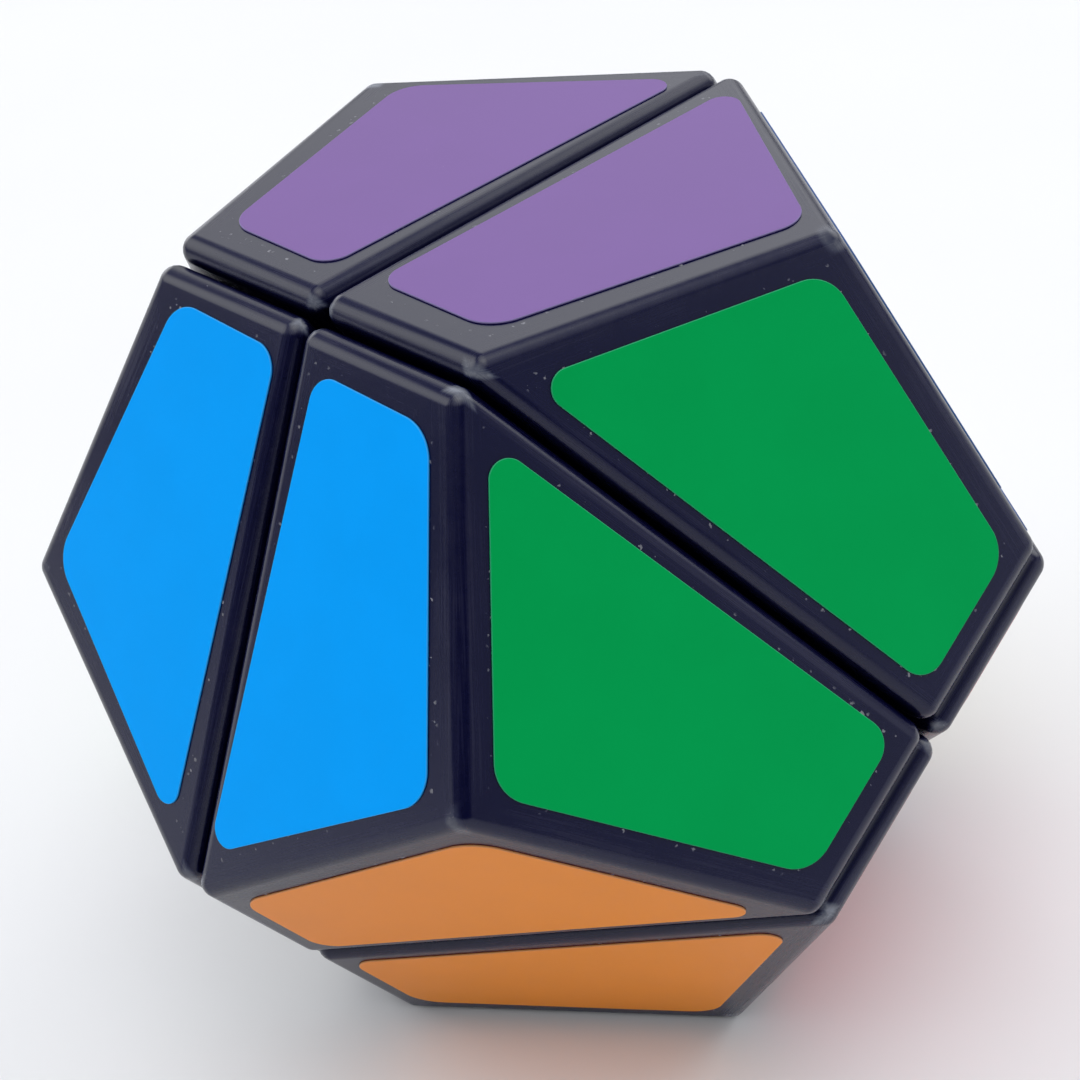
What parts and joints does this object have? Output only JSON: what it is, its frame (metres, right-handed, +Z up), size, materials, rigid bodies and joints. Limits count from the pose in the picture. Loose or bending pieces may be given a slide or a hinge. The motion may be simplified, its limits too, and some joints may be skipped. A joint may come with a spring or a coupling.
{
  "type": "dodecahedron twisty puzzle",
  "caption": "Dodecahedron twisty puzzle: dark plastic corner pieces with coloured half-pentagon stickers, one half turning on the other about a tilted axis.",
  "frame": {"origin": "centre of the pentagon that the puzzle stands on, at the surface it stands on", "axes": "+Z up; the near vertex of the top pentagon points to -Y and the standing pentagon's near edge runs along X"},
  "size_m": [0.0772, 0.081, 0.0663],
  "materials": {
    "shell_plastic": "satin",
    "mechanism_plastic": "satin",
    "core_plastic": "satin",
    "screw_steel": "satin",
    "spring_steel": "bright",
    "sticker_purple": "satin",
    "sticker_blue": "satin",
    "sticker_green": "satin",
    "sticker_red": "satin",
    "sticker_cream": "satin",
    "sticker_grey": "satin",
    "sticker_lime": "satin",
    "sticker_navy": "satin",
    "sticker_orange": "satin",
    "sticker_white": "satin",
    "sticker_yellow": "satin",
    "sticker_pink": "satin"
  },
  "bodies": {
    "lower_half": {"core": "core_plastic", "screws": "screw_steel", "springs": "spring_steel", "washers": "screw_steel", "centre_cap_lower": "mechanism_plastic", "centre_cap_left": "mechanism_plastic", "centre_cap_right": "mechanism_plastic", "centre_cap_back": "mechanism_plastic", "centre_cap_front": "mechanism_plastic", "edge_slider_lower_left": "mechanism_plastic", "edge_slider_lower_right": "mechanism_plastic", "edge_slider_lower_back": "mechanism_plastic", "edge_slider_lower_front": "mechanism_plastic", "edge_slider_back_left": "mechanism_plastic", "edge_slider_front_left": "mechanism_plastic", "edge_slider_back_right": "mechanism_plastic", "edge_slider_front_right": "mechanism_plastic", "corner_foot_lower_back_left": "mechanism_plastic", "corner_foot_lower_back_right": "mechanism_plastic", "corner_foot_lower_front_left": "mechanism_plastic", "corner_foot_lower_front_right": "mechanism_plastic", "corner_shell_lower_back_left": "shell_plastic", "corner_shell_lower_back_right": "shell_plastic", "corner_shell_lower_front_left": "shell_plastic", "corner_shell_lower_front_right": "shell_plastic", "stickers_cream": "sticker_cream", "stickers_grey": "sticker_grey", "stickers_lime": "sticker_lime", "stickers_red": "sticker_red", "sticker_orange_lower": "sticker_orange", "sticker_yellow_lower": "sticker_yellow", "sticker_navy_lower": "sticker_navy", "sticker_white_lower": "sticker_white"},
    "upper_half": {"centre_cap_upper": "mechanism_plastic", "edge_slider_upper_left": "mechanism_plastic", "edge_slider_upper_right": "mechanism_plastic", "edge_slider_upper_back": "mechanism_plastic", "edge_slider_upper_front": "mechanism_plastic", "corner_foot_upper_back_left": "mechanism_plastic", "corner_foot_upper_back_right": "mechanism_plastic", "corner_foot_upper_front_left": "mechanism_plastic", "corner_foot_upper_front_right": "mechanism_plastic", "corner_shell_upper_back_left": "shell_plastic", "corner_shell_upper_back_right": "shell_plastic", "corner_shell_upper_front_left": "shell_plastic", "corner_shell_upper_front_right": "shell_plastic", "stickers_purple": "sticker_purple", "stickers_blue": "sticker_blue", "stickers_green": "sticker_green", "stickers_pink": "sticker_pink", "sticker_orange_upper": "sticker_orange", "sticker_yellow_upper": "sticker_yellow", "sticker_navy_upper": "sticker_navy", "sticker_white_upper": "sticker_white"}
  },
  "joints": [
    {"name": "half_turn", "type": "hinge", "parent": "lower_half", "child": "upper_half", "pos_m": [0, 0, 0.03315], "axis": [-0.309, -0.4253, 0.8507], "continuous": true}
  ]
}
